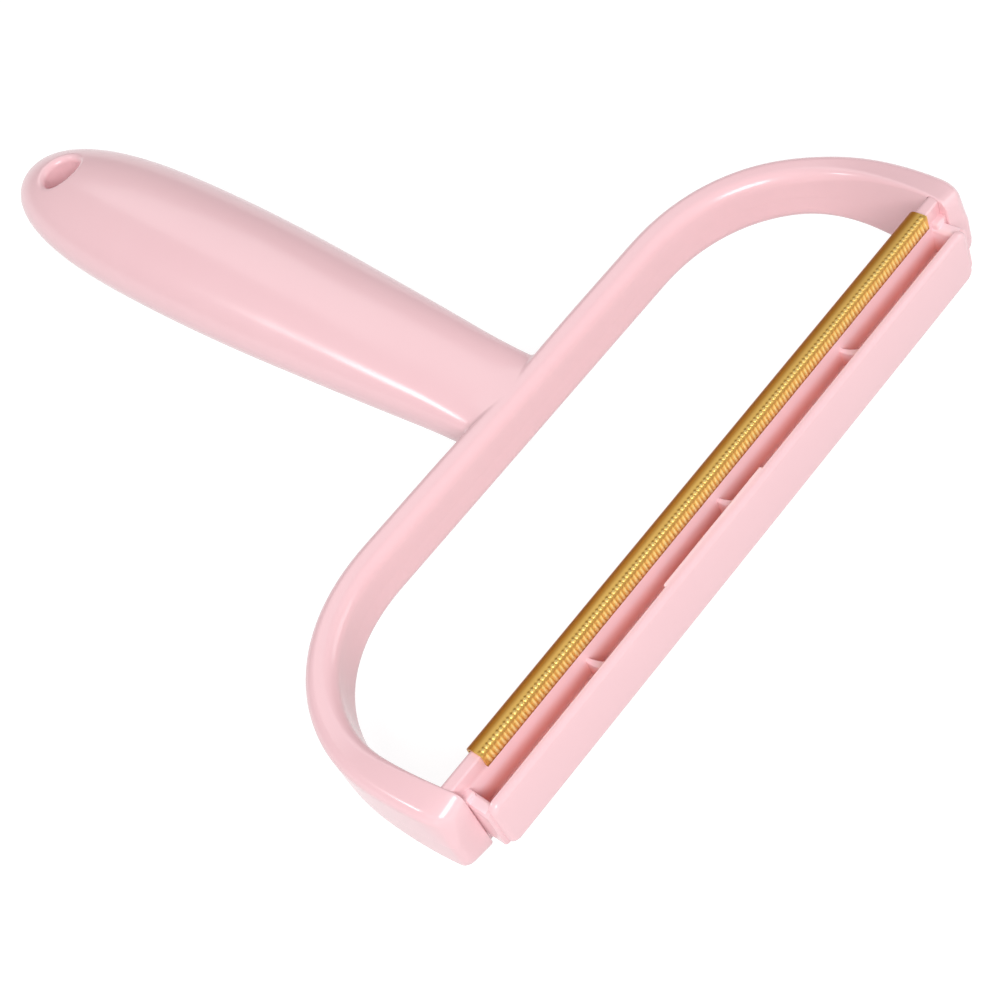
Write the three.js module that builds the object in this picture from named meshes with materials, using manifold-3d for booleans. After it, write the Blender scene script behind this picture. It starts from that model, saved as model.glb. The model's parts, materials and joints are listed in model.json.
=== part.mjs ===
// Manual lint shaver: a hollow handle that opens into a D-shaped bow, and a channel-shaped
// head bar between the bow's arms with a knurled brass strip folded over each edge of its blade.
// Millimetres. x runs across the head, y from the head's front face to the handle's tip, z is up,
// and z = 0 is the parting plane of the two shells until the last group sets the part on the floor.
import * as THREE from 'three';
import { mergeVertices } from 'three/addons/utils/BufferGeometryUtils.js';
import Module from 'manifold-3d';

// Overall sizes
const OVERALL_LENGTH = 180;
const FIT = 0.3;
const SEAM = 0.2;

// Bow: a strip bent into a straight back, two round corners and two arms
const BOW_WIDTH = 130;
const BOW_REACH = 49.2;
const BOW_STRAIGHT = 67;
const BOW_CORNER_REACH = 31.2;
const BOW_CORNER_POWER = 2.15;
const BOW_THICKNESS = 5.2;
const BOW_DEPTH = 10;
const BOW_EDGE_RADIUS = 2;
const ARM_TUCK = 1.2;
const ARM_TIP = 3.8;
const ARM_NOSE = 2;
const ARM_DEPTH = 16;
const ARM_FLARE = 32;
const ARM_LEAN = 0.4;

// Handle: widest at the belly, waisted at the neck, with a round nose
const NECK_WIDTH = 17.3;
const BELLY_WIDTH = 27;
const BELLY_DEPTH = 18;
const BELLY_TO_TIP = 47;
const NECK_SWELL = 1.15;
const NOSE_LENGTH_POWER = 2.6;
const NOSE_WIDTH_POWER = 2.4;
const NOSE_BLUNT = 0.999;
const HANDLE_WALL = 2.2;
const HANDLE_FLOOR_TO_TIP = 25;
const HANG_HOLE = 8;
const HANG_HOLE_TO_TIP = 13.5;
const HANG_RIM = 0.8;

// Locating pins of the lower shell, on bosses in the handle and bare on the bow
const BOSS = 7;
const BOSS_PIN = 3;
const BOSS_PITCH = 46;
const BOSS_FROM_BACK = 32;
const BOW_PIN = 2;
const PIN_RISE = 2.5;

// Head bar: front plate, channel, blade
const PLATE_LENGTH = 115.6;
const PLATE_HEIGHT = 10.4;
const PLATE_THICKNESS = 1.6;
const PLATE_CORNER = 1.8;
const PLATE_PAD = 0.5;
const PLATE_PAD_FROM = -17;
const PLATE_PAD_TO = 6.5;
const CHANNEL_WIDTH = 3.85;
const WEB_THICKNESS = 1;
const WEB_DROP = 1.4;
const END_WALL = 1.5;
const END_WALL_DROP = 0.6;
const BLADE_HEIGHT = 15.8;
const BLADE_THICKNESS = 2.25;
const BLADE_CORNER = 1;
const BLADE_IN_ARM = 3;
const PEG = 3;
const PEG_LENGTH = 1;
const RIB_PITCH = 31.3;
const RIB_THICKNESS = 1.8;
const RIB_DROP = 1.2;

// Scraper strip: folded sheet with a row of teeth on its top and one on its front
const STRIP_LENGTH = 108;
const STRIP_SHIFT = 1.2;
const STRIP_SHEET = 0.45;
const STRIP_FIT = 0.15;
const STRIP_LEG = 2.8;
const STRIP_BEND = 1.5;
const TOOTH_PITCH = 0.77;
const TOOTH_HEIGHT = 0.35;
const TOOTH_MARGIN = 0.25;
const TOP_ROW_WIDTH = 0.95;
const FRONT_ROW_WIDTH = 2.1;

// Facets
const SECTION_SIDES = 32;
const HANDLE_RINGS = 26;
const CORNER_RINGS = 13;
const NOSE_RINGS = 4;
const EDGE_STEPS = 3;
const ROUND_SIDES = 20;

// Places that follow from the sizes above
const BELLY_AT = OVERALL_LENGTH - BELLY_TO_TIP;
const BLADE_FRONT = PLATE_THICKNESS + CHANNEL_WIDTH;
const BLADE_BACK = BLADE_FRONT + BLADE_THICKNESS;
const BLADE_MIDDLE = (BLADE_FRONT + BLADE_BACK) / 2;
const ARM_START = BOW_REACH - BOW_CORNER_REACH;
const BLADE_END = armEdge(BLADE_MIDDLE) - BOW_THICKNESS + BLADE_IN_ARM;
const WALL_END = armEdge(ARM_TIP) - BOW_THICKNESS - FIT;
const BLADE_EDGE = STRIP_BEND - STRIP_SHEET - STRIP_FIT;
const STRIP_TOP = BLADE_HEIGHT / 2 + STRIP_FIT + STRIP_SHEET;
const STRIP_FRONT = BLADE_FRONT - STRIP_FIT - STRIP_SHEET;
const STRIP_BACK = BLADE_BACK + STRIP_FIT + STRIP_SHEET;
const LOWEST = Math.max(BELLY_DEPTH / 2, STRIP_TOP + TOOTH_HEIGHT);
const BEYOND = 2 * OVERALL_LENGTH;

const PINK = { color: 0xf7c1ca, roughness: 0.3, metalness: 0 };
const BRASS = { color: 0xc99a3f, roughness: 0.35, metalness: 1 };

const wasm = await Module();
wasm.setup();

// A closed three.js geometry as a solid that can be joined and cut
function solidOf(geometry) {
  const bare = geometry.clone();
  bare.deleteAttribute('normal');
  bare.deleteAttribute('uv');
  const merged = mergeVertices(bare, 1e-4);
  return new wasm.Manifold(new wasm.Mesh({
    numProp: 3,
    vertProperties: Float32Array.from(merged.attributes.position.array),
    triVerts: Uint32Array.from(merged.index.array),
  }));
}

// A solid as a named mesh with its own material
function piece(name, solid, finish) {
  const { vertProperties, triVerts } = solid.getMesh();
  const geometry = new THREE.BufferGeometry();
  geometry.setAttribute('position', new THREE.BufferAttribute(vertProperties, 3));
  geometry.setIndex(new THREE.BufferAttribute(triVerts, 1));
  geometry.computeVertexNormals();
  const mesh = new THREE.Mesh(geometry, new THREE.MeshStandardMaterial(finish));
  mesh.name = name;
  return mesh;
}

function joined(solids) {
  return solids.reduce((whole, next) => whole.add(next));
}

function box(low, high) {
  const size = high.clone().sub(low);
  const geometry = new THREE.BoxGeometry(size.x, size.y, size.z);
  const middle = low.clone().add(high).multiplyScalar(0.5);
  return solidOf(geometry.translate(middle.x, middle.y, middle.z));
}

// Upright round bar between two heights
function post(diameter, x, y, low, high) {
  const geometry = new THREE.CylinderGeometry(diameter / 2, diameter / 2, high - low, ROUND_SIDES);
  geometry.rotateX(Math.PI / 2);
  return solidOf(geometry.translate(x, y, (low + high) / 2));
}

// Skin over rings of equal point counts, each counter-clockwise as seen along the way they follow
function loft(rings) {
  const sides = rings[0].length;
  const middles = [rings[0], rings.at(-1)].map((ring) => ring
    .reduce((sum, point) => sum.add(point), new THREE.Vector3())
    .divideScalar(sides));
  const first = rings.length * sides;
  const faces = [];
  for (let side = 0; side < sides; side += 1) {
    const next = (side + 1) % sides;
    for (let base = 0; base < first - sides; base += sides) {
      faces.push(base + side, base + sides + next, base + next);
      faces.push(base + side, base + sides + side, base + sides + next);
    }
    faces.push(first, side, next);
    faces.push(first + 1, first - sides + next, first - sides + side);
  }
  const geometry = new THREE.BufferGeometry().setFromPoints([...rings.flat(), ...middles]);
  geometry.setIndex(faces);
  return solidOf(geometry);
}

// Plan of the bow's outer edge on an arm: leaning in by the square of the way to the tip
function armEdge(y) {
  const way = Math.max(0, (ARM_START - y) / (ARM_START - ARM_TIP));
  return BOW_WIDTH / 2 - ARM_TUCK * way ** 2;
}

// Depth of the bow's inner face, which flares in a smooth step towards the arm's tip
function bowDepth(y) {
  const way = Math.max(0, 1 - (y - ARM_TIP) / ARM_FLARE);
  return BOW_DEPTH + (ARM_DEPTH - BOW_DEPTH) * way ** 2 * (3 - 2 * way);
}

// Outer edge of the bow's right half, from the middle of the back to the arm's tip
function bowEdge() {
  const power = 2 / BOW_CORNER_POWER;
  const reachX = (BOW_WIDTH - BOW_STRAIGHT) / 2;
  const edge = [new THREE.Vector2(0, BOW_REACH)];
  for (let step = 0; step <= CORNER_RINGS; step += 1) {
    const turn = (step / CORNER_RINGS) * (Math.PI / 2);
    edge.push(new THREE.Vector2(
      BOW_STRAIGHT / 2 + reachX * Math.sin(turn) ** power,
      ARM_START + BOW_CORNER_REACH * Math.max(0, Math.cos(turn)) ** power,
    ));
  }
  const noseStart = ARM_TIP + ARM_NOSE;
  edge.push(new THREE.Vector2(armEdge((ARM_START + noseStart) / 2), (ARM_START + noseStart) / 2));
  for (let step = 0; step <= NOSE_RINGS; step += 1) {
    const y = ARM_TIP + ARM_NOSE * (1 - Math.sin((step / NOSE_RINGS) * (Math.PI / 2) * 0.9));
    edge.push(new THREE.Vector2(armEdge(y), y));
  }
  return edge;
}

// Rounded rectangle around the origin, counter-clockwise
function roundedSection(width, height, radius) {
  const points = [];
  for (let corner = 0; corner < 4; corner += 1) {
    const middleX = (width / 2 - radius) * (corner === 0 || corner === 3 ? 1 : -1);
    const middleY = (height / 2 - radius) * (corner < 2 ? 1 : -1);
    for (let step = 0; step <= EDGE_STEPS; step += 1) {
      const turn = (corner + step / EDGE_STEPS) * (Math.PI / 2);
      points.push(new THREE.Vector2(
        middleX + radius * Math.cos(turn),
        middleY + radius * Math.sin(turn),
      ));
    }
  }
  return points;
}

// The bow's section carried along its edge from the left tip to the right one, the flare leaning in
function bow() {
  const half = bowEdge();
  const mirrored = half.slice(1).reverse().map((point) => new THREE.Vector2(-point.x, point.y));
  const edge = [...mirrored, ...half];
  const section = roundedSection(BOW_THICKNESS, BOW_DEPTH, BOW_EDGE_RADIUS);
  const rings = edge.map((point, index) => {
    const before = edge[Math.max(0, index - 1)];
    const after = edge[Math.min(edge.length - 1, index + 1)];
    const along = after.clone().sub(before).normalize();
    const inward = point.y < ARM_START
      ? new THREE.Vector2(-Math.sign(point.x), 0)
      : new THREE.Vector2(along.y, -along.x);
    const fromTip = Math.min(1, (point.y - ARM_TIP) / ARM_NOSE);
    const swell = Math.sqrt(1 - (1 - fromTip) ** 2);
    const flare = bowDepth(point.y) / BOW_DEPTH - 1;
    return section.map((corner) => {
      const across = corner.x / BOW_THICKNESS + 0.5;
      return new THREE.Vector3(
        point.x + inward.x * across * BOW_THICKNESS,
        point.y + inward.y * across * BOW_THICKNESS,
        corner.y * swell * (1 + flare * (1 - ARM_LEAN * (1 - across))),
      );
    });
  });
  return loft(rings);
}

// Half width and half depth of the handle, from neck to belly and from belly to nose
function handleSize(y) {
  if (y < BELLY_AT) {
    const way = Math.max(0, y - BOW_REACH) / (BELLY_AT - BOW_REACH);
    const rise = Math.sin((way * Math.PI) / 2) ** NECK_SWELL;
    return {
      halfWidth: NECK_WIDTH / 2 + (rise * (BELLY_WIDTH - NECK_WIDTH)) / 2,
      halfDepth: BOW_DEPTH / 2 + (rise * (BELLY_DEPTH - BOW_DEPTH)) / 2,
    };
  }
  const way = (NOSE_BLUNT * (y - BELLY_AT)) / BELLY_TO_TIP;
  const fall = (1 - way ** NOSE_LENGTH_POWER) ** (1 / NOSE_WIDTH_POWER);
  return { halfWidth: (fall * BELLY_WIDTH) / 2, halfDepth: (fall * BELLY_DEPTH) / 2 };
}

// Handle between two stations, its oval sections drawn in all round by a wall
function handle(start, end, wall) {
  const rings = [];
  for (let ring = 0; ring <= HANDLE_RINGS; ring += 1) {
    const y = start + (end - start) * Math.sin((ring / HANDLE_RINGS) * (Math.PI / 2));
    const { halfWidth, halfDepth } = handleSize(y);
    const points = [];
    for (let side = 0; side < SECTION_SIDES; side += 1) {
      const turn = (side / SECTION_SIDES) * 2 * Math.PI;
      points.push(new THREE.Vector3(
        (halfWidth - wall) * Math.cos(turn),
        y,
        (halfDepth - wall) * Math.sin(turn),
      ));
    }
    rings.push(points);
  }
  return loft(rings);
}

// Upright hang hole with a flared rim square to the sloping surface above and below
function hangHole() {
  const y = OVERALL_LENGTH - HANG_HOLE_TO_TIP;
  const reach = HANG_HOLE / 2;
  const fall = handleSize(y - reach).halfDepth - handleSize(y + reach).halfDepth;
  const flares = [0, Math.PI].map((turn) => {
    const flare = new THREE.CylinderGeometry(
      reach + HANG_RIM, reach - HANG_RIM, 2 * HANG_RIM, ROUND_SIDES,
    );
    flare.rotateX(Math.PI / 2 - Math.atan2(fall, HANG_HOLE));
    flare.translate(0, y, handleSize(y).halfDepth);
    return solidOf(flare.rotateY(turn));
  });
  return joined([post(HANG_HOLE, 0, y, -BELLY_DEPTH, BELLY_DEPTH), ...flares]);
}

// Slot in each arm for the blade's end, with a round socket for its peg
function armSlots() {
  const slots = [-1, 1].flatMap((side) => {
    const inner = (BLADE_END + FIT) * side;
    const outer = (BLADE_END - BOW_THICKNESS) * side;
    const socket = new THREE.CylinderGeometry(PEG / 2 + FIT, PEG / 2 + FIT, 2 * (PEG_LENGTH + FIT), ROUND_SIDES);
    socket.rotateZ(Math.PI / 2).translate(inner, BLADE_MIDDLE, 0);
    return [
      box(
        new THREE.Vector3(Math.min(inner, outer), BLADE_FRONT - FIT, -BEYOND),
        new THREE.Vector3(Math.max(inner, outer), BLADE_BACK + FIT, BEYOND),
      ),
      solidOf(socket),
    ];
  });
  return joined(slots);
}

// Centres of the locating pins, with the diameter of each
function pinPlaces() {
  const bossY = BOW_REACH + BOSS_FROM_BACK;
  const backY = BOW_REACH - BOW_THICKNESS / 2;
  const armX = BOW_WIDTH / 2 - BOW_THICKNESS / 2;
  return [
    ...[bossY, bossY + BOSS_PITCH].map((y) => ({ x: 0, y, pin: BOSS_PIN, boss: BOSS })),
    ...[-1, 1].map((side) => ({ x: (side * BOW_STRAIGHT) / 2, y: backY, pin: BOW_PIN })),
    ...[-1, 1].map((side) => ({ x: side * armX, y: ARM_START, pin: BOW_PIN })),
  ];
}

// Both shells: the outer form less the cavity, parted at z = 0, with pins below and sockets above
function shells() {
  const outside = handle(BOW_REACH - BOW_THICKNESS / 2, OVERALL_LENGTH, 0);
  const hollowStart = BOW_REACH + HANDLE_WALL;
  const hollow = handle(hollowStart, OVERALL_LENGTH - HANDLE_FLOOR_TO_TIP, HANDLE_WALL);
  const pins = pinPlaces();
  const bosses = pins.filter((place) => place.boss)
    .map((place) => post(place.boss, place.x, place.y, -BELLY_DEPTH, BELLY_DEPTH));
  const cavity = hollow.subtract(joined(bosses));
  const whole = joined([bow(), outside]).subtract(cavity).subtract(hangHole()).subtract(armSlots());
  const above = box(
    new THREE.Vector3(-BEYOND, -BEYOND, SEAM / 2),
    new THREE.Vector3(BEYOND, BEYOND, BEYOND),
  );
  const below = box(
    new THREE.Vector3(-BEYOND, -BEYOND, -BEYOND),
    new THREE.Vector3(BEYOND, BEYOND, -SEAM / 2),
  );
  const sockets = pins.map((place) => post(
    place.pin + 2 * FIT, place.x, place.y, -SEAM, PIN_RISE + FIT,
  ));
  const posts = pins.map((place) => post(place.pin, place.x, place.y, -BOW_DEPTH / 4, PIN_RISE));
  return {
    upper: whole.intersect(above).subtract(joined(sockets)),
    lower: joined([whole.intersect(below), ...posts]),
  };
}

// Upright plate with rounded corners, between two values of y
function uprightPlate(length, height, radius, front, back) {
  const shape = new THREE.Shape(roundedSection(length, height, radius));
  const geometry = new THREE.ExtrudeGeometry(shape, { depth: back - front, bevelEnabled: false });
  geometry.rotateX(Math.PI / 2).translate(0, back, 0);
  return solidOf(geometry);
}

// Outline in y and z carried along x, centred at a place on it
function bar(shape, length, x) {
  const geometry = new THREE.ExtrudeGeometry(shape, { depth: length, bevelEnabled: false });
  geometry.applyMatrix4(new THREE.Matrix4().makeBasis(
    new THREE.Vector3(0, 1, 0),
    new THREE.Vector3(0, 0, 1),
    new THREE.Vector3(1, 0, 0),
  ));
  return solidOf(geometry.translate(x - length / 2, 0, 0));
}

// Blade with rounded ends, its two edges round at the back where the strips fold over them
function blade() {
  const top = BLADE_HEIGHT / 2;
  const turnAt = BLADE_BACK - BLADE_EDGE;
  const shape = new THREE.Shape();
  shape.moveTo(BLADE_FRONT, -top);
  shape.absarc(turnAt, BLADE_EDGE - top, BLADE_EDGE, -Math.PI / 2, 0);
  shape.absarc(turnAt, top - BLADE_EDGE, BLADE_EDGE, 0, Math.PI / 2);
  shape.lineTo(BLADE_FRONT, top);
  const ends = uprightPlate(2 * BLADE_END, BLADE_HEIGHT, BLADE_CORNER, BLADE_FRONT, BLADE_BACK);
  return ends.intersect(bar(shape, 2 * BLADE_END, 0));
}

// Gusset rib across the channel, falling from the plate's edge to the blade, above and below the web
function rib(x) {
  const top = PLATE_HEIGHT / 2 - END_WALL_DROP;
  const shape = new THREE.Shape([
    new THREE.Vector2(PLATE_THICKNESS / 2, -top),
    new THREE.Vector2(BLADE_MIDDLE, RIB_DROP - top),
    new THREE.Vector2(BLADE_MIDDLE, top - RIB_DROP),
    new THREE.Vector2(PLATE_THICKNESS / 2, top),
  ]);
  return bar(shape, RIB_THICKNESS, x);
}

// Head bar: plate, blade, web, end walls, ribs and the pegs that seat in the arms
function headBar() {
  const halfPlate = PLATE_LENGTH / 2;
  const wallTop = PLATE_HEIGHT / 2 - END_WALL_DROP;
  const wallStart = halfPlate - END_WALL;
  const web = box(
    new THREE.Vector3(END_WALL / 2 - halfPlate, PLATE_THICKNESS / 2, -WEB_DROP - WEB_THICKNESS / 2),
    new THREE.Vector3(halfPlate - END_WALL / 2, BLADE_MIDDLE, WEB_THICKNESS / 2 - WEB_DROP),
  );
  const endWalls = [-1, 1].map((side) => bar(new THREE.Shape([
    new THREE.Vector2(PLATE_THICKNESS / 2, -wallTop),
    new THREE.Vector2(BLADE_MIDDLE, -wallTop),
    new THREE.Vector2(BLADE_MIDDLE, wallTop),
    new THREE.Vector2(PLATE_THICKNESS / 2, wallTop),
  ]), WALL_END - wallStart, side * ((wallStart + WALL_END) / 2)));
  const pad = box(
    new THREE.Vector3(PLATE_PAD_FROM, PLATE_THICKNESS / 2, -PLATE_HEIGHT / 2),
    new THREE.Vector3(PLATE_PAD_TO, PLATE_THICKNESS + PLATE_PAD, PLATE_HEIGHT / 2),
  );
  const pegLine = new THREE.CylinderGeometry(PEG / 2, PEG / 2, 2 * (BLADE_END + PEG_LENGTH), ROUND_SIDES);
  pegLine.rotateZ(Math.PI / 2).translate(0, BLADE_MIDDLE, 0);
  const between = box(
    new THREE.Vector3(1 - BLADE_END, -BEYOND, -BEYOND),
    new THREE.Vector3(BLADE_END - 1, BEYOND, BEYOND),
  );
  return joined([
    uprightPlate(PLATE_LENGTH, PLATE_HEIGHT, PLATE_CORNER, 0, PLATE_THICKNESS),
    blade(),
    pad,
    web,
    ...endWalls,
    ...[-1, 0, 1].map((place) => rib(place * RIB_PITCH)),
    solidOf(pegLine).subtract(between),
  ]);
}

// Row of hipped teeth on a flat strip: x along the row, y across it, z out of the face
function toothRow(count, width) {
  const sink = STRIP_SHEET / 2;
  const points = [];
  const faces = [];
  for (let tooth = 0; tooth <= count; tooth += 1) {
    const x = (tooth - count / 2) * TOOTH_PITCH;
    points.push([x, 0, 0], [x, width, 0]);
    points.push([x + TOOTH_PITCH / 2, TOOTH_MARGIN, TOOTH_HEIGHT]);
    points.push([x + TOOTH_PITCH / 2, width - TOOTH_MARGIN, TOOTH_HEIGHT]);
  }
  points.length = count * 4 + 2;
  const under = points.length;
  const half = (count / 2) * TOOTH_PITCH;
  points.push([-half, 0, -sink], [-half, width, -sink], [half, 0, -sink], [half, width, -sink]);
  for (let tooth = 0; tooth < count; tooth += 1) {
    const [near, far, crestNear, crestFar, nextNear, nextFar] = [0, 1, 2, 3, 4, 5].map((k) => tooth * 4 + k);
    faces.push(near, crestNear, crestFar, near, crestFar, far);
    faces.push(crestNear, nextNear, nextFar, crestNear, nextFar, crestFar);
    faces.push(near, nextNear, crestNear, far, crestFar, nextFar);
    faces.push(under, nextNear, near, under + 1, far, nextFar);
  }
  const last = count * 4;
  faces.push(under, under + 2, last, under + 1, last + 1, under + 3);
  faces.push(under, 0, 1, under, 1, under + 1);
  faces.push(under + 2, under + 3, last + 1, under + 2, last + 1, last);
  faces.push(under, under + 1, under + 3, under, under + 3, under + 2);
  const geometry = new THREE.BufferGeometry().setFromPoints(points.map((at) => new THREE.Vector3(...at)));
  geometry.setIndex(faces);
  return geometry;
}

// Brass strip folded over the blade's upper edge, open below, round at the back
function scraperStrip() {
  const low = STRIP_TOP - STRIP_LEG;
  const turnAt = STRIP_BACK - STRIP_BEND;
  const shape = new THREE.Shape();
  shape.moveTo(STRIP_FRONT, low);
  shape.lineTo(STRIP_FRONT + STRIP_SHEET, low);
  shape.lineTo(STRIP_FRONT + STRIP_SHEET, STRIP_TOP - STRIP_SHEET);
  shape.absarc(turnAt, STRIP_TOP - STRIP_BEND, STRIP_BEND - STRIP_SHEET, Math.PI / 2, 0, true);
  shape.lineTo(STRIP_BACK - STRIP_SHEET, low);
  shape.lineTo(STRIP_BACK, low);
  shape.lineTo(STRIP_BACK, STRIP_TOP - STRIP_BEND);
  shape.absarc(turnAt, STRIP_TOP - STRIP_BEND, STRIP_BEND, 0, Math.PI / 2);
  shape.lineTo(STRIP_FRONT, STRIP_TOP);
  const count = Math.floor((STRIP_LENGTH - TOOTH_PITCH) / TOOTH_PITCH);
  const topRow = toothRow(count, TOP_ROW_WIDTH).translate(0, STRIP_FRONT + TOOTH_MARGIN / 2, STRIP_TOP);
  const frontRow = toothRow(count, FRONT_ROW_WIDTH).applyMatrix4(new THREE.Matrix4().makeBasis(
    new THREE.Vector3(1, 0, 0),
    new THREE.Vector3(0, 0, 1),
    new THREE.Vector3(0, -1, 0),
  )).translate(0, STRIP_FRONT, STRIP_TOP - TOOTH_MARGIN / 2 - FRONT_ROW_WIDTH);
  return joined([bar(shape, STRIP_LENGTH, 0), solidOf(topRow), solidOf(frontRow)]);
}

const { upper, lower } = shells();
const strip = scraperStrip();

const head = new THREE.Group();
head.add(piece('head_bar', headBar(), PINK));
const upperStrip = piece('upper_scraper_strip', strip, BRASS);
upperStrip.position.x = STRIP_SHIFT;
head.add(upperStrip);
const lowerStrip = piece('lower_scraper_strip', strip.mirror([0, 0, 1]), BRASS);
lowerStrip.position.x = STRIP_SHIFT;
head.add(lowerStrip);

const lintShaver = new THREE.Group();
lintShaver.add(piece('upper_shell', upper, PINK), piece('lower_shell', lower, PINK), head);
lintShaver.position.set(0, -OVERALL_LENGTH / 2, LOWEST);

export default lintShaver;
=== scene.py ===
# %% [markdown]
# # A manual lint shaver
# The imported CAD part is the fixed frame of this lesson. Its solids have the right sizes but flat
# facets, so each visible piece is drawn again here as a smooth surface at the same place, and gets
# the finish of the real material.

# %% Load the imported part
import json
from math import radians

import bmesh
import bpy
import numpy as np
from mathutils import Matrix, Vector

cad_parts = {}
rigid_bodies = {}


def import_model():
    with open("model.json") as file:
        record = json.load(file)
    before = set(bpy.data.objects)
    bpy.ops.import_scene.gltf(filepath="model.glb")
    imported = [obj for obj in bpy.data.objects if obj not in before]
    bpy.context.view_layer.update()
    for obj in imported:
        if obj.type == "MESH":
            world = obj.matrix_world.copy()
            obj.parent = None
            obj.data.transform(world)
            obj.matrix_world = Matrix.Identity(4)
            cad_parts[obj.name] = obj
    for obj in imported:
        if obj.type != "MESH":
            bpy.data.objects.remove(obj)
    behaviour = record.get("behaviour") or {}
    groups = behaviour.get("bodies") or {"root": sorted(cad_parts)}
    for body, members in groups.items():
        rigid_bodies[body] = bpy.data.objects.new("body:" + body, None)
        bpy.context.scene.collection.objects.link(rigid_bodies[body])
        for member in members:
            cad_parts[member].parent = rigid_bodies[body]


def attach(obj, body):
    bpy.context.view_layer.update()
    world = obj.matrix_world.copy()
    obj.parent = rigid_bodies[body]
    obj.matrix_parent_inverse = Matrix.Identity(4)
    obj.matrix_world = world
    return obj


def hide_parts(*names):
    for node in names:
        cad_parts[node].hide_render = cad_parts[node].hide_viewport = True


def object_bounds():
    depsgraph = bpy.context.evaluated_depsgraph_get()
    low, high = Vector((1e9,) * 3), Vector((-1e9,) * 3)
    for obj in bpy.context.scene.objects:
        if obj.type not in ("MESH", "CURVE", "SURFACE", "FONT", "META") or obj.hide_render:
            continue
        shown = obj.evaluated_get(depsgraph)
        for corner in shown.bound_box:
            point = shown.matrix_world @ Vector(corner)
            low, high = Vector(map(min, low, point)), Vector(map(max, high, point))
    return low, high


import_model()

CAD_LOW, CAD_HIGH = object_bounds()
PARTING = (CAD_LOW.z + CAD_HIGH.z) / 2
print("CAD box in mm:", [round(1000 * side, 2) for side in CAD_HIGH - CAD_LOW])

# %% [markdown]
# ## From grids to meshes
# Every surface is a grid of points: one parameter runs along the rows, the other along the columns.
# The grids are drawn in millimetres, with y counted from the head's front face and z from the
# plane where the two shells part, because those are the planes a toolmaker measures from.
# Patches that share an edge are merged there, open flat ends are filled, and the normals of the
# closed shell are turned outwards.

# %% Grid helpers
MM = 0.001
WELD = 2e-6
CREASE = 35.0


def place(points):
    """Drawing millimetres to the row frame's metres: scale, then shift y and z."""
    return np.asarray(points, float) * MM + np.array([0.0, CAD_LOW.y, PARTING])


def grid_faces(rows, columns, closed):
    """Four corners of each cell of a grid; closed joins the last column to the first."""
    index = np.arange(rows * columns).reshape(rows, columns)
    if closed:
        index = np.column_stack([index, index[:, 0]])
    cells = [index[:-1, :-1], index[:-1, 1:], index[1:, 1:], index[1:, :-1]]
    return np.stack(cells, axis=-1).reshape(-1, 4)


def mesh_from(name, patches):
    """One closed mesh from (grid, closed) patches, smooth except at sharp edges."""
    sizes = [grid.shape[0] * grid.shape[1] for grid, _ in patches]
    starts = np.cumsum([0] + sizes[:-1])
    points = np.concatenate([place(grid).reshape(-1, 3) for grid, _ in patches])
    faces = np.concatenate([
        grid_faces(*grid.shape[:2], closed) + start
        for (grid, closed), start in zip(patches, starts)
    ])
    mesh = bpy.data.meshes.new(name)
    mesh.from_pydata(points, [], faces)
    return finish_mesh(mesh)


def finish_mesh(mesh, crease=CREASE):
    """Merge doubles, fill flat open ends, turn normals outwards and shade by edge angle."""
    shell = bmesh.new()
    shell.from_mesh(mesh)
    bmesh.ops.remove_doubles(shell, verts=shell.verts, dist=WELD)
    bmesh.ops.holes_fill(shell, edges=shell.edges, sides=0)
    bmesh.ops.recalc_face_normals(shell, faces=shell.faces)
    shell.to_mesh(mesh)
    shell.free()
    mesh.shade_smooth()
    mesh.set_sharp_from_angle(angle=radians(crease))
    return mesh


def add_piece(name, mesh):
    """Object at the origin that shows a mesh."""
    piece = bpy.data.objects.new(name, mesh)
    bpy.context.scene.collection.objects.link(piece)
    return piece


def combine(piece, tools, operation):
    """Join or cut a piece with closed tool meshes, keep the result as its mesh, drop the tools."""
    shelf = bpy.data.collections.new(piece.name + "_tools")
    bpy.context.scene.collection.children.link(shelf)
    for number, tool in enumerate(tools):
        shelf.objects.link(bpy.data.objects.new(f"{piece.name}_tool_{number}", tool))
    cut = piece.modifiers.new("combine", "BOOLEAN")
    cut.operation = operation
    cut.operand_type = "COLLECTION"
    cut.collection = shelf
    cut.solver = "EXACT"
    result = bpy.data.meshes.new_from_object(
        piece.evaluated_get(bpy.context.evaluated_depsgraph_get())
    )
    piece.modifiers.clear()
    piece.data = result
    for tool in list(shelf.objects):
        bpy.data.objects.remove(tool)
    bpy.data.collections.remove(shelf)
    result.name = piece.name
    result.shade_smooth()
    result.set_sharp_from_angle(angle=radians(CREASE))


# %% [markdown]
# ## The shells: bow and handle
# The real tool's body is two glossy mouldings that meet in a fine line at mid height. One
# moulding is a bow bent into a D, with a rounded-rectangle section, and an oval handle that swells
# from its back. A bow and a handle could be lofted apart and united, but the union leaves a hard
# crease where the moulding has a soft one. So a shell is drawn as strips between its outline and
# its spine, the line along its middle: each cross line climbs from the outline to the spine on the
# section's own profile, and the profile changes from the bow's to the handle's around the neck.

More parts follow.
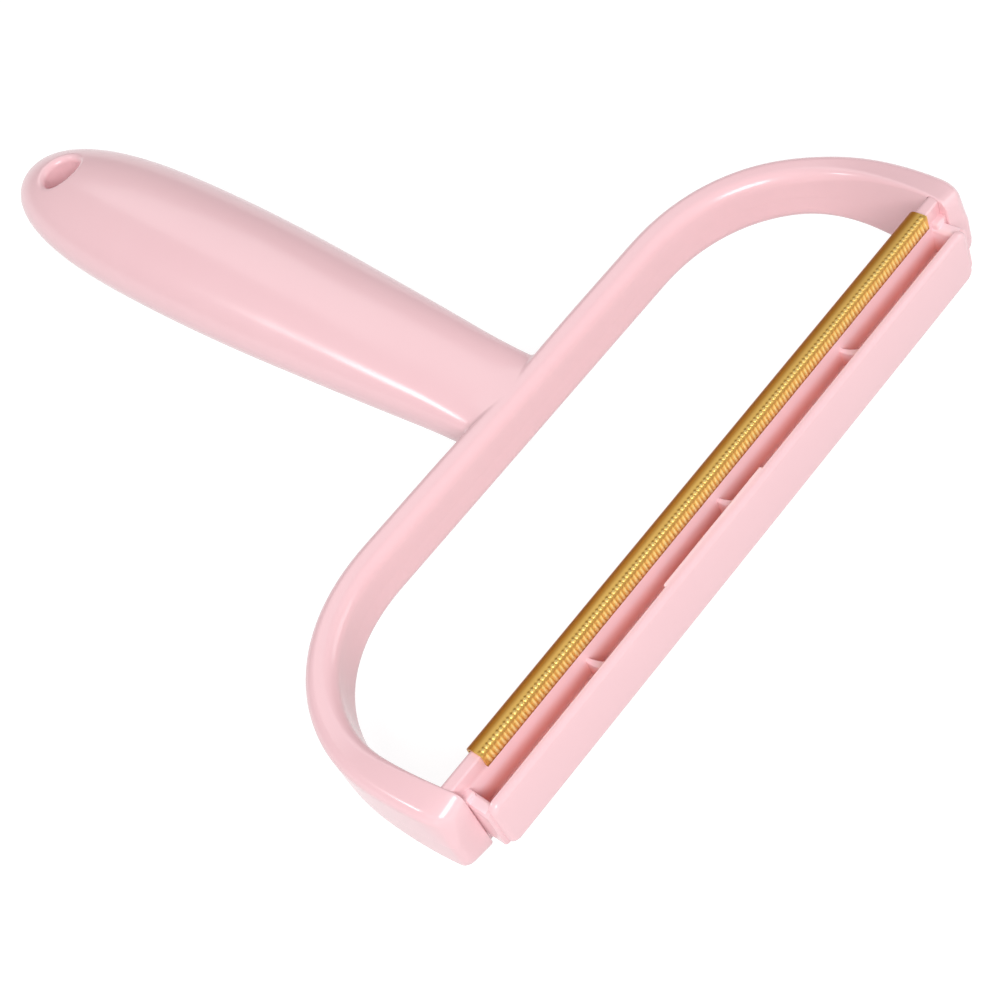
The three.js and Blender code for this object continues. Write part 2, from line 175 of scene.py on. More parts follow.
# %% Sizes of the bow and handle
LENGTH = 180.0
BOW_HALF = 65.0
BOW_REACH = 49.2
BOW_STRAIGHT_HALF = 33.5
BOW_CORNER_REACH = 31.2
BOW_CORNER_POWER = 2.15
BOW_THICKNESS = 5.2
BOW_HALF_DEPTH = 5.0
BOW_EDGE = 2.0
ARM_TUCK = 1.2
ARM_TIP = 3.8
ARM_HALF_DEPTH = {1: 8.25, -1: 7.4}  # upper shell, lower shell
ARM_LEAN = 0.4
ARM_FLARE = 32.0
ARM_TIP_EDGE = 1.8
ARM_TIP_OUTSIDE = 1.2
ARM_TIP_INSIDE = 0.3
TIP_OUTER_EDGE = 1.3
TIP_INNER_EDGE = 0.5
TIP_ROUND = 4.5
TIP_ROUND_SHARE = {1: 0.8, -1: 0.0}
TIP_ROUND_DROP = {1: 1.6, -1: 0.0}
NECK_HALF = 8.65
BELLY_HALF = 13.5
BELLY_HALF_DEPTH = 9.0
BELLY_AT = 133.0
NECK_SWELL = 1.15
NOSE_LENGTH_POWER = 2.6
NOSE_WIDTH_POWER = 2.4
NECK_FILLET = 1.5
SEAM_HALF = 0.005

ARM_START = BOW_REACH - BOW_CORNER_REACH
SPINE_AT = BOW_REACH - BOW_THICKNESS / 2
SLIDE_FROM = 24.0
SLIDE_TO = 80.0
NOSE_FROM = 154.0
POLE_STEP = 1.2

# %% [markdown]
# Both sections are written as shares of the way across and of the height, with the same number of
# points, so that one can be mixed into the other.

# %% Profiles across the bow and the handle
EDGE_POINTS = 13
WALL_POINTS = 5


def quarter_turn(points):
    """Evenly spaced angles from zero to a right angle."""
    return np.linspace(0, np.pi / 2, points)


EDGE_TURN = quarter_turn(EDGE_POINTS)
WALL_STEPS = np.linspace(0, 1, WALL_POINTS)
OVAL_TURN = quarter_turn(EDGE_POINTS + 2 * (WALL_POINTS - 1))


def bow_profile(radius, height):
    """Shares across and up of the bow's quarter section: wall, quarter round and flat top."""
    wide = 2 * radius[:, None] / BOW_THICKNESS
    tall = radius[:, None] / height[:, None]
    across = np.hstack([
        0 * wide * WALL_STEPS[:-1], wide * (1 - np.cos(EDGE_TURN)),
        wide + (1 - wide) * WALL_STEPS[1:],
    ])
    rise = np.hstack([
        (1 - tall) * WALL_STEPS[:-1], 1 - tall * (1 - np.sin(EDGE_TURN)),
        np.ones((len(radius), WALL_POINTS - 1)),
    ])
    return across, rise


def handle_size(y):
    """Half width and half depth of the handle along its length.

    From neck to belly both grow with a sine of the way, raised to a power; from belly to nose
    both shrink as a superellipse of the way.
    """
    way = np.clip((y - BOW_REACH) / (BELLY_AT - BOW_REACH), 0, 1)
    rise = np.sin(way * np.pi / 2) ** NECK_SWELL
    ahead = np.clip((y - BELLY_AT) / (LENGTH - BELLY_AT), 0, 1)
    fall = (1 - ahead ** NOSE_LENGTH_POWER) ** (1 / NOSE_WIDTH_POWER)
    half_width = (NECK_HALF + rise * (BELLY_HALF - NECK_HALF)) * fall
    half_depth = (BOW_HALF_DEPTH + rise * (BELLY_HALF_DEPTH - BOW_HALF_DEPTH)) * fall
    return half_width, half_depth


def smooth_step(value):
    """Cubic from 0 to 1 with level ends."""
    value = np.clip(value, 0, 1)
    return value * value * (3 - 2 * value)


def near_tip(y):
    """Smooth step from 0 where an arm begins to flare to 1 at its tip."""
    return smooth_step(1 - (y - ARM_TIP) / ARM_FLARE)


def bow_half_depth(y, across, side):
    """Half depth of the bow at a share of the way across it from its outer to its inner edge.

    It flares in a smooth step towards the arms' tips, less so at the outer edge.
    """
    flare = near_tip(y) * (1 - ARM_LEAN * (1 - across))
    return BOW_HALF_DEPTH + (ARM_HALF_DEPTH[side] - BOW_HALF_DEPTH) * flare


# %% [markdown]
# The outline and the spine are lists of points with matching rows, from the arm's tip round the
# corner, along the straight back, round the neck's fillet and up the handle. Only the right half is
# drawn; the left is its mirror image.

# %% Outline and spine of the shell's right half
TIP_ROWS = 20
ARM_ROWS = 14
CORNER_ROWS = 72
BACK_ROWS = 10
SLIDE_ROWS = 20
POLE_ROWS = 9
NECK_ROWS = 34
GRIP_ROWS = 48


def arm_and_corner():
    """Outer edge and inward direction from the arm's tip to the straight back.

    On the arm the edge leans in by the square of the way to the tip; the corner is a quarter of a
    superellipse; the inward direction is square to the edge, and straight across on the arm.
    """
    tip = ARM_TIP + TIP_ROUND * (1 - np.cos(quarter_turn(TIP_ROWS)))
    y = np.concatenate([tip, np.linspace(tip[-1], ARM_START, ARM_ROWS)[1:-1]])
    way = (ARM_START - y) / (ARM_START - ARM_TIP)
    arm = np.column_stack([BOW_HALF - ARM_TUCK * way ** 2, y])
    turn = np.linspace(np.pi / 2, 0, CORNER_ROWS)
    power = 2 / BOW_CORNER_POWER
    reach = BOW_HALF - BOW_STRAIGHT_HALF
    corner = np.column_stack([
        BOW_STRAIGHT_HALF + reach * np.sin(turn) ** power,
        ARM_START + BOW_CORNER_REACH * np.clip(np.cos(turn), 0, 1) ** power,
    ])
    along = np.gradient(corner, axis=0)
    along[0] = [0, 1]
    along[-1] = [-1, 0]
    square = np.column_stack([-along[:, 1], along[:, 0]])
    square /= np.linalg.norm(square, axis=1, keepdims=True)
    across = np.tile([-1.0, 0.0], (len(arm), 1))
    return np.concatenate([arm, corner]), np.concatenate([across, square])


EDGE, INWARD = arm_and_corner()
TIP_DISTANCE = EDGE[:, 1] - ARM_TIP


def round_in(distance, radius):
    """How far a quarter round of that radius stands back, by the distance from its end."""
    short = np.clip(radius - distance, 0, radius)
    return radius - np.sqrt(radius ** 2 - short ** 2)


OUTER_BOW = EDGE + INWARD * round_in(TIP_DISTANCE, ARM_TIP_OUTSIDE)[:, None]
INNER_BOW = EDGE + INWARD * (BOW_THICKNESS - round_in(TIP_DISTANCE, ARM_TIP_INSIDE))[:, None]
SPINE_BOW = EDGE + INWARD * BOW_THICKNESS / 2
TIP_DROP = round_in(TIP_DISTANCE, ARM_TIP_EDGE)
TIP_TURN = round_in(TIP_DISTANCE, TIP_ROUND) / TIP_ROUND

BACK_X = np.linspace(BOW_STRAIGHT_HALF, SLIDE_FROM, BACK_ROWS)[1:]
FILLET_TURN = quarter_turn(2 * POLE_ROWS - 1)
FILLET_X = NECK_HALF + NECK_FILLET * (1 - np.sin(FILLET_TURN))
FILLET_Y = BOW_REACH + NECK_FILLET * (1 - np.cos(FILLET_TURN))
FILLET_X = FILLET_X + handle_size(FILLET_Y)[0] - NECK_HALF
SLIDE_OUT_X = np.linspace(SLIDE_FROM, FILLET_X[0], SLIDE_ROWS)[1:-1]
SLIDE_SPINE_X = np.linspace(SLIDE_FROM, POLE_STEP, SLIDE_ROWS)[1:-1]
NEAR_POLE = np.linspace(POLE_STEP, 0, POLE_ROWS)
NECK_Y = np.linspace(FILLET_Y[-1], SLIDE_TO, NECK_ROWS)[1:]
NECK_SPINE_Y = np.linspace(SPINE_AT + POLE_STEP, SLIDE_TO, NECK_ROWS)[1:]
GRIP_Y = np.linspace(SLIDE_TO, NOSE_FROM, GRIP_ROWS)[1:]

OUTER_EDGE = np.concatenate([
    OUTER_BOW,
    np.column_stack([BACK_X, np.full_like(BACK_X, BOW_REACH)]),
    np.column_stack([SLIDE_OUT_X, np.full_like(SLIDE_OUT_X, BOW_REACH)]),
    np.column_stack([FILLET_X, FILLET_Y]),
    np.column_stack([handle_size(NECK_Y)[0], NECK_Y]),
    np.column_stack([handle_size(GRIP_Y)[0], GRIP_Y]),
])
SPINE_X = np.concatenate([BACK_X, SLIDE_SPINE_X, NEAR_POLE])
SPINE_Y = np.concatenate([SPINE_AT + NEAR_POLE[::-1][1:], NECK_SPINE_Y, GRIP_Y])
SPINE = np.concatenate([
    SPINE_BOW,
    np.column_stack([SPINE_X, np.full_like(SPINE_X, SPINE_AT)]),
    np.column_stack([np.zeros_like(SPINE_Y), SPINE_Y]),
])
BOW_ROWS = len(SPINE_BOW) + len(SPINE_X)
INNER_EDGE = np.concatenate([
    INNER_BOW,
    np.column_stack([SPINE_X, np.full_like(SPINE_X, BOW_REACH - BOW_THICKNESS)]),
])
print("rows of the outer strip:", len(OUTER_EDGE), "and of the inner strip:", BOW_ROWS)

# %% Strips between outline and spine
FILLET_ROW = BOW_ROWS - len(NEAR_POLE)
RUN = np.concatenate([[0], np.cumsum(np.linalg.norm(np.diff(OUTER_EDGE, axis=0), axis=1))])
BLEND_BEFORE = 10.0
BLEND_AFTER = 14.0
NECK_POWER = 2.7
NECK_POWER_TO = 95.0
OVAL_SHARE = smooth_step(
    (RUN - RUN[FILLET_ROW] + BLEND_BEFORE) / (BLEND_BEFORE + BLEND_AFTER)
)


def strip(edge, spine, oval_share, edge_height, spine_height, tip_radius, lean):
    """Upper surface between an outline and a spine.

    Each cross line runs from the outline to the spine; how far across and how high its points lie
    is the bow's profile mixed with the oval one by oval_share, times a height that changes evenly
    from the outline to the spine. The bow's edge round shrinks to tip_radius at the arms' tips, and
    its wall leans in with height by the share lean. The oval is a superellipse, squarer at the neck
    and a plain ellipse along the grip.
    """
    share = oval_share[:, None]
    radius = BOW_EDGE + (tip_radius - BOW_EDGE) * near_tip(edge[:, 1])
    bow_across, bow_rise = bow_profile(radius, np.maximum(edge_height, BOW_EDGE))
    squarer = smooth_step((NECK_POWER_TO - edge[:, 1:]) / (NECK_POWER_TO - BOW_REACH))
    power = 2 / (2 + (NECK_POWER - 2) * squarer)
    oval_across = 1 - np.clip(np.cos(OVAL_TURN), 0, 1) ** power
    oval_rise = np.sin(OVAL_TURN) ** power
    bow_across = bow_across + lean[:, None] * bow_rise * (1 - bow_across)
    across = bow_across * (1 - share) + oval_across * share
    rise = bow_rise * (1 - share) + oval_rise * share
    plan = edge[:, None] + (spine - edge)[:, None] * across[..., None]
    height = edge_height[:, None] + (spine_height - edge_height)[:, None] * across
    return np.dstack([plan, rise * height])


def front_face(first_row):
    """Flat end of an arm: the first cross line sinks straight down to the parting plane."""
    sink = WALL_STEPS[:-1, None, None]
    return np.concatenate([first_row * [1, 1, 0] + first_row * [0, 0, 1] * sink, first_row[None]])


def strip_height(across, side):
    """Half depth along all rows at a share of the way across the bow."""
    height = handle_size(SPINE[:, 1])[1]
    height[:BOW_ROWS] = BOW_HALF_DEPTH
    drop = TIP_DROP + TIP_ROUND_DROP[side] * TIP_TURN * (1 - across)
    height[:len(EDGE)] = bow_half_depth(EDGE[:, 1], across, side) - drop
    return height


def outer_strip(side):
    """Strip from the outer outline to the spine, over the bow and the handle."""
    lean = np.zeros(len(SPINE))
    lean[:len(EDGE)] = TIP_ROUND_SHARE[side] * TIP_TURN
    return strip(OUTER_EDGE, SPINE, OVAL_SHARE, strip_height(0, side), strip_height(0.5, side),
                 TIP_OUTER_EDGE, lean)


def inner_strip(side):
    """Strip from the bow's inner outline to the spine."""
    level = np.zeros(BOW_ROWS)
    return strip(INNER_EDGE, SPINE[:BOW_ROWS], level, strip_height(1, side)[:BOW_ROWS],
                 strip_height(0.5, side)[:BOW_ROWS], TIP_INNER_EDGE, level)


# %% [markdown]
# ## The nose with its hang hole
# The handle's end has a round hole to hang the tool on, with a soft moulded rim. A hole cut out of
# the finished skin would leave ragged facets around it, so the nose is drawn as rings around the
# hole instead: up the bore, over the rim's rounding, and out to the nose's outline.

# %% Rings around the hang hole
HANG_TO_TIP = 13.5
HANG_AT = np.array([0.0, LENGTH - HANG_TO_TIP])
HANG_RADIUS = 4.0
HANG_RIM = 1.5
NOSE_RAYS = 44
BORE_ROWS = 8
RIM_ROWS = 12
FIELD_ROWS = 26
AXIS_GUARD = 1e-9


def skin_height(plan):
    """Height of the handle's oval skin above a place in plan."""
    half_width, half_depth = handle_size(plan[..., 1])
    share = plan[..., 0] / np.maximum(half_width, AXIS_GUARD)
    return half_depth * np.sqrt(np.clip(1 - share ** 2, 0, 1))


def nose_targets():
    """Outer ends of the rays: round the nose's outline and back along the grip's last row."""
    start = ((NOSE_FROM - BELLY_AT) / (LENGTH - BELLY_AT)) ** (NOSE_LENGTH_POWER / 2)
    turn = np.linspace(np.arcsin(start), np.pi / 2, NOSE_RAYS)
    y = BELLY_AT + (LENGTH - BELLY_AT) * np.sin(turn) ** (2 / NOSE_LENGTH_POWER)
    right = np.column_stack([handle_size(y)[0], y])
    right[0, 1] = NOSE_FROM
    left = right[::-1] * [-1, 1]
    last_row = np.column_stack([
        handle_size(np.array(NOSE_FROM))[0] * np.cos(OVAL_TURN),
        np.full_like(OVAL_TURN, NOSE_FROM),
    ])
    return np.concatenate([right, left[1:], last_row[1:] * [-1, 1], last_row[::-1][1:-1]])


TARGETS = nose_targets()
AIM = np.arctan2(TARGETS[:, 1] - HANG_AT[1], TARGETS[:, 0])
RAY = np.column_stack([np.cos(AIM), np.sin(AIM)])


def nose():
    """Rings from the hole's foot to the nose's outline, and flat rings that close it below."""
    bore = HANG_AT + HANG_RADIUS * RAY
    lip = skin_height(bore) - HANG_RIM
    shares = np.linspace(0, 1, BORE_ROWS)[:-1]
    wall = np.array([np.column_stack([bore, lip * share]) for share in shares])
    turn = quarter_turn(RIM_ROWS)[:, None, None]
    plan = HANG_AT + (HANG_RADIUS + HANG_RIM * (1 - np.cos(turn))) * RAY
    rim = np.dstack([plan, skin_height(plan) - HANG_RIM * (1 - np.sin(turn[..., 0]))])
    out = np.sin(quarter_turn(FIELD_ROWS)[1:])[:, None, None]
    plan = plan[-1] + (TARGETS - plan[-1]) * out
    field = np.dstack([plan, skin_height(plan)])
    flat = np.dstack([np.array([bore, TARGETS]), np.zeros((2, len(TARGETS)))])
    return np.concatenate([wall, rim, field]), flat


NOSE, NOSE_FLAT = nose()


def shell_patches(side):
    """All patches of one shell; side is 1 above the parting plane and -1 below it.

    Heights are kept clear of the parting plane by half the seam. The flat patches repeat the
    strips in plan to close the shell along the seam.
    """
    strips = (outer_strip(side), inner_strip(side))
    skins = strips + tuple(front_face(grid[0]) for grid in strips)
    mirrored = [(grid * [turn, 1, 1], False) for turn in (1, -1) for grid in skins]
    flats = [(grid * [turn, 1, 0], False) for turn in (1, -1) for grid in strips]
    patches = mirrored + flats + [(NOSE, True), (NOSE_FLAT, True)]
    return [(np.maximum(grid, [-np.inf, -np.inf, SEAM_HALF]) * [1, 1, side], closed)
            for grid, closed in patches]


upper_shell = add_piece("upper_shell_moulding", mesh_from("upper_shell", shell_patches(1)))
lower_shell = add_piece("lower_shell_moulding", mesh_from("lower_shell", shell_patches(-1)))
print("faces of a shell:", len(upper_shell.data.polygons))

# %% [markdown]
# ## The head bar
# The bar between the arms is one moulding: a front plate, a channel and a tall blade behind it,
# tied by a web, end walls and small gusset ribs. Moulded edges are never sharp, so each part of it
# is a stack of rounded rectangles that draw in at both ends by a small edge round, and the parts
# are united into one closed body.

# %% Stacks of rounded rectangles
CORNER_POINTS = 9
BLOCK_EDGE_POINTS = 7
LEAST_CORNER = 0.02


def rounded_ring(half_x, half_z, radius):
    """Rounded rectangles: a quarter circle at each corner, joined by straight sides."""
    turn = quarter_turn(CORNER_POINTS) + np.arange(4)[:, None] * np.pi / 2
    sign_x = np.array([1, -1, -1, 1])[:, None]
    sign_z = np.array([1, 1, -1, -1])[:, None]
    half_x, half_z, radius = (
        np.asarray(size, float)[..., None, None] for size in (half_x, half_z, radius)
    )
    x = sign_x * (half_x - radius) + radius * np.cos(turn)
    z = sign_z * (half_z - radius) + radius * np.sin(turn)
    flat = x.shape[:-2] + (-1,)
    return x.reshape(flat), z.reshape(flat)


def soft_block(middle, half_x, half_z, corner, front, back, edge, back_edge=None):
    """Upright block between two values of y whose ends draw in by a quarter round of edge."""
    back_edge = back_edge or edge
    turn = quarter_turn(BLOCK_EDGE_POINTS)
    draw = 1 - np.sin(turn)
    run = 1 - np.cos(turn)
    inset = np.concatenate([edge * draw, back_edge * draw[::-1]])
    y = np.concatenate([front + edge * run, back - back_edge * run[::-1]])
    x, z = rounded_ring(half_x - inset, half_z - inset, np.maximum(corner - inset, LEAST_CORNER))
    return np.dstack([x + middle, np.broadcast_to(y[:, None], x.shape), z])


# %% [markdown]
# The plate comes first. Every other part runs a little way into its neighbours, so that the union
# has no faces that only touch.

# %% Plate, pad, web and blade
PLATE_HALF = 57.8
PLATE_HALF_HEIGHT = 5.2
PLATE_THICKNESS = 1.4
PLATE_MIDDLE = PLATE_THICKNESS / 2
PLATE_CORNER = 1.8
PLATE_FRONT_EDGE = 0.8
PLATE_BACK_EDGE = 0.2
PAD = 0.5
PAD_ENDS = (-17.0, 6.5)
PAD_CORNER = 0.3
PAD_EDGE = 0.25
BLADE_FRONT = 5.45
BLADE_BACK = 7.7
BLADE_MIDDLE = (BLADE_FRONT + BLADE_BACK) / 2
BLADE_HALF_HEIGHT = 7.9
BLADE_CORNER = 1.0
BLADE_FRONT_EDGE = 0.3
BLADE_BACK_EDGE = 0.9
BLADE_IN_ARM = 1.2
BLADE_HALF = BOW_HALF - BOW_THICKNESS + BLADE_IN_ARM - ARM_TUCK * (
    (ARM_START - BLADE_MIDDLE) / (ARM_START - ARM_TIP)
) ** 2
WEB_HALF = 0.5
WEB_DROP = 1.4
WEB_SHORT = 0.4
WEB_CORNER = 0.1
WEB_EDGE = 0.05


def plate():
    """Front plate with rounded corners and a softer front edge."""
    return soft_block(0, PLATE_HALF, PLATE_HALF_HEIGHT, PLATE_CORNER, 0, PLATE_THICKNESS,
                      PLATE_FRONT_EDGE, PLATE_BACK_EDGE)


def pad():
    """Thicker stretch on the back of the plate."""
    return soft_block(sum(PAD_ENDS) / 2, (PAD_ENDS[1] - PAD_ENDS[0]) / 2, PLATE_HALF_HEIGHT,
                      PAD_CORNER, PLATE_MIDDLE, PLATE_THICKNESS + PAD, PAD_EDGE)


def web():
    """Level wall between plate and blade, a little under the parting plane."""
    level = soft_block(0, PLATE_HALF - WEB_SHORT, WEB_HALF, WEB_CORNER,
                       PLATE_MIDDLE, BLADE_MIDDLE, WEB_EDGE)
    return level - [0, 0, WEB_DROP]


def blade(room):
    """Tall block that carries the brass, larger all round by room."""
    return soft_block(0, BLADE_HALF + room, BLADE_HALF_HEIGHT + room, BLADE_CORNER,
                      BLADE_FRONT - room, BLADE_BACK + room, BLADE_FRONT_EDGE, BLADE_BACK_EDGE)


# %% End walls, bridges, ribs and pegs
END_WALL_AT = 57.4
END_WALL_HALF = 1.1
END_WALL_HALF_HEIGHT = 4.4
END_WALL_CORNER = 0.8
END_WALL_EDGE = 0.1
BRIDGE_AT = 57.9
BRIDGE_HALF = 1.4
BRIDGE_HALF_HEIGHT = 5.3
BRIDGE_CORNER = 0.6
BRIDGE_EDGE = 0.4
BRIDGE_SET_BACK = 0.5
RIB_PITCH = 31.3
RIB_DROP = 2.2
RIB_BELOW_PLATE = 0.4
RIB_HALF_FRONT = 0.8
RIB_HALF_BACK = 0.35
RIB_CORNER = 0.3
RIB_ROOT = 0.4
RIB_ROWS = 14
PEG_RADIUS = 1.5
PEG_END_RADIUS = 1.2
PEG_LENGTH = 1.0
PEG_CHAMFER = 0.3
PEG_SIDES = 32


def end_wall(side):
    """Wall that closes the channel at one end."""
    return soft_block(side * END_WALL_AT, END_WALL_HALF, END_WALL_HALF_HEIGHT, END_WALL_CORNER,
                      PLATE_MIDDLE, BLADE_MIDDLE, END_WALL_EDGE)


def bridge(side, room):
    """Block from an end wall into the arm beside it, larger all round by room."""
    return soft_block(side * BRIDGE_AT, BRIDGE_HALF + room, BRIDGE_HALF_HEIGHT + room,
                      BRIDGE_CORNER, ARM_TIP + BRIDGE_SET_BACK - room, BLADE_MIDDLE, BRIDGE_EDGE)


def rib(middle):
    """Gusset: rounded sections that narrow and sink in a hollow curve from plate to blade."""
    way = np.linspace(0, 1, RIB_ROWS)
    half_x = RIB_HALF_FRONT + (RIB_HALF_BACK - RIB_HALF_FRONT) * way
    half_z = PLATE_HALF_HEIGHT - RIB_BELOW_PLATE - RIB_DROP * (1 - (1 - way) ** 2)
    x, z = rounded_ring(half_x, half_z, np.full_like(way, RIB_CORNER))
    y = np.linspace(PLATE_THICKNESS - RIB_ROOT, BLADE_FRONT + RIB_ROOT, RIB_ROWS)
    return np.dstack([x + middle, np.broadcast_to(y[:, None], x.shape), z])


def peg(side):
    """Round peg along x: circles of one radius, drawn in at the free end."""
    turn = np.linspace(0, 2 * np.pi, PEG_SIDES + 1)[:-1]
    radius = np.array([PEG_RADIUS, PEG_RADIUS, PEG_END_RADIUS])[:, None]
    along = np.array([-PEG_LENGTH, PEG_LENGTH - PEG_CHAMFER, PEG_LENGTH])[:, None] + BLADE_HALF
    return np.dstack([
        np.broadcast_to(side * along, (len(radius), PEG_SIDES)),
        BLADE_MIDDLE + radius * np.cos(turn),
        radius * np.sin(turn),
    ])


# %% One head bar
bar_parts = [
    blade(0),
    pad(),
    web(),
    *[end_wall(side) for side in (-1, 1)],
    *[bridge(side, 0) for side in (-1, 1)],
    *[rib(number * RIB_PITCH) for number in (-1, 0, 1)],
    *[peg(side) for side in (-1, 1)],
]
head_bar = add_piece("head_bar_moulding", mesh_from("plate", [(plate(), True)]))
combine(head_bar, [mesh_from("bar_part", [(part, True)]) for part in bar_parts], "UNION")
print("faces of the head bar:", len(head_bar.data.polygons))

# %% [markdown]
# The blade's ends and pegs sit in slots of the arms. The same rounded block, a hair larger, cuts
# the slot in both shells, so the joint closes to a fine line as on the real tool.

# %% Slots in the arms
SLOT_FIT = 0.05
PEG_LINE = np.array([0, BLADE_MIDDLE, 0])
SOCKET_GROWTH = np.array([1.002, 1.04, 1.04])
slot_tools = [
    blade(SLOT_FIT),
    *[(peg(side) - PEG_LINE) * SOCKET_GROWTH + PEG_LINE for side in (-1, 1)],
    *[bridge(side, SLOT_FIT) for side in (-1, 1)],
]
for shell in (upper_shell, lower_shell):
    combine(shell, [mesh_from("slot", [(tool, True)]) for tool in slot_tools], "DIFFERENCE")
print("faces of a shell with its slots:", len(upper_shell.data.polygons))

# %% [markdown]
# ## The brass strips
# Each edge of the blade wears a strip of thin brass, folded over it. Rows of teeth are pressed into
# the sheet: small beads with pits behind them along the top, and upright crescents down the front.
# All of it is relief on one folded sheet, so the sheet is a profile carried along x, and the relief
# moves its points along the profile's normal.

# %% Folded sheet
STRIP_LENGTH = 108.0
STRIP_SHIFT = 1.2
SHEET = 0.45
STRIP_FIT = 0.15
STRIP_TOP = BLADE_HALF_HEIGHT + STRIP_FIT + SHEET
STRIP_FRONT = BLADE_FRONT - STRIP_FIT - SHEET
STRIP_BACK = BLADE_BACK + STRIP_FIT + SHEET
STRIP_LEG = 2.8
STRIP_FOOT = STRIP_TOP - STRIP_LEG
BACK_BEND = 1.5
FRONT_BEND = 0.25
LEG_POINTS = 4
BEND_POINTS = 9
TOP_POINTS = 22
FRONT_POINTS = 20
INNER_BEND_POINTS = 7


def sheet_profile():
    """Points and normals of the sheet's outside, from the back leg's foot to the front leg's.

    The back leg is straight, the back bend a quarter circle, the top level, the front bend a
    smaller quarter circle and the front leg straight again.
    """
    turn = quarter_turn(BEND_POINTS)
    back_y, back_z = STRIP_BACK - BACK_BEND, STRIP_TOP - BACK_BEND
    front_y, front_z = STRIP_FRONT + FRONT_BEND, STRIP_TOP - FRONT_BEND
    leg_z = np.linspace(STRIP_FOOT, back_z, LEG_POINTS)[:-1]
    top_y = np.linspace(back_y, front_y, TOP_POINTS)[1:-1]
    down_z = np.linspace(front_z, STRIP_FOOT, FRONT_POINTS)[1:]
    y = np.concatenate([
        np.full_like(leg_z, STRIP_BACK), back_y + BACK_BEND * np.cos(turn), top_y,
        front_y - FRONT_BEND * np.sin(turn), np.full_like(down_z, STRIP_FRONT),
    ])
    z = np.concatenate([
        leg_z, back_z + BACK_BEND * np.sin(turn), np.full_like(top_y, STRIP_TOP),
        front_z + FRONT_BEND * np.cos(turn), down_z,
    ])
    out_y = np.concatenate([
        np.ones_like(leg_z), np.cos(turn), np.zeros_like(top_y), -np.sin(turn),
        -np.ones_like(down_z),
    ])
    out_z = np.concatenate([
        np.zeros_like(leg_z), np.sin(turn), np.ones_like(top_y), np.cos(turn),
        np.zeros_like(down_z),
    ])
    return np.column_stack([y, z]), np.column_stack([out_y, out_z])


def sheet_inside():
    """Inside of the fold, from the front leg's foot round to the back leg's."""
    turn = np.linspace(np.pi / 2, 0, INNER_BEND_POINTS)
    bend = BACK_BEND - SHEET
    y = np.concatenate([
        np.full(2, STRIP_FRONT + SHEET),
        STRIP_BACK - BACK_BEND + bend * np.cos(turn), [STRIP_BACK - SHEET],
    ])
    z = np.concatenate([
        [STRIP_FOOT, STRIP_TOP - SHEET],
        STRIP_TOP - BACK_BEND + bend * np.sin(turn), [STRIP_FOOT],
    ])
    return np.column_stack([y, z])


# %% [markdown]
# The teeth could be separate small meshes, but on the real strip they are dents and bumps of one
# sheet. So they are heights over it, sums of small ellipsoid caps.

# %% Pressed teeth
TOOTH_PITCH = 0.77
TEETH = int((STRIP_LENGTH - TOOTH_PITCH) / TOOTH_PITCH)
ROW_HALF = TEETH * TOOTH_PITCH / 2
PER_TOOTH = 8
TOP_BAND = 0.05
ROUNDING = 1e-6
BEAD_HEIGHT = 0.16
BEAD_AT = 0.5
BEAD_REACH = (0.33, 0.34)
PIT_DEPTH = 0.09
PIT_AT = 0.88
PIT_REACH = (0.18, 0.22)
CRESCENT_HEIGHT = 0.33
CRESCENT_HALF = 0.33
CRESCENT_TOP = 0.25
CRESCENT_LENGTH = 2.25
CRESCENT_TAPER = 1.8
CRESCENT_BOW = 0.16
CRESCENT_MIDDLE = 1.3
CRESCENT_ARC = 1.1
VALLEY_DEPTH = 0.06
VALLEY_AT = -0.15
VALLEY_REACH = 0.55


def bump(across, along, reach_across, reach_along):
    """Ellipsoid cap: the root of what the two squared shares of its reach leave of one."""
    left = 1 - (across / reach_across) ** 2 - (along / reach_along) ** 2
    return np.sqrt(np.clip(left, 0, 1))


def relief(x, profile):
    """Height of the pressed teeth, for each place along the sheet and round its profile.

    Beads stand along the top with pits behind and between them. Each crescent bows along the row
    by the square of the distance from its middle, and is fuller low down. A shallow valley follows
    the sheet's front edge.
    """
    y, z = profile[:, 0], profile[:, 1]
    tooth = x[:, None] / TOOTH_PITCH + TEETH / 2
    phase = tooth - np.floor(tooth) - 0.5
    between = np.abs(phase) - 0.5
    from_front = y - STRIP_FRONT
    down = np.where(y < STRIP_FRONT + FRONT_BEND, STRIP_TOP - z, -1.0)
    round_edge = from_front - np.maximum(down, 0)
    beads = BEAD_HEIGHT * bump(from_front - BEAD_AT, phase * TOOTH_PITCH, *BEAD_REACH)
    pits = -PIT_DEPTH * bump(from_front - PIT_AT, between * TOOTH_PITCH, *PIT_REACH)
    bowed = phase - CRESCENT_BOW * (((down - CRESCENT_MIDDLE) / CRESCENT_ARC) ** 2 - 0.5)
    lower = np.clip((down - CRESCENT_TOP) / CRESCENT_LENGTH, 0, 1) ** CRESCENT_TAPER
    crescents = CRESCENT_HEIGHT * bump(2 * lower - 1, bowed * TOOTH_PITCH, 1.0, CRESCENT_HALF)
    valley = -VALLEY_DEPTH * bump(round_edge - VALLEY_AT, 0, VALLEY_REACH, 1.0)
    top = np.where(z > STRIP_TOP - TOP_BAND, beads + pits, 0)
    on_row = np.abs(x)[:, None] < ROW_HALF + ROUNDING
    return np.where(on_row, top + crescents + valley, 0)


# %% [markdown]
# The teeth are painted bright by wear and painted highlight, while the fold behind them and the
# feet get painted shade, a darker brown where they turn away from the light and meet the blade.
# That share is worked out round the profile and stored on the points for the finish to read.

# %% Strip with its painted shade
FOLD_FROM = 1.1
FOLD_TO = 2.2
BACK_FADE = 0.65
BACK_FADE_FROM = 0.6
FOOT_FROM = 2.35
STRIP_CREASE = 50.0


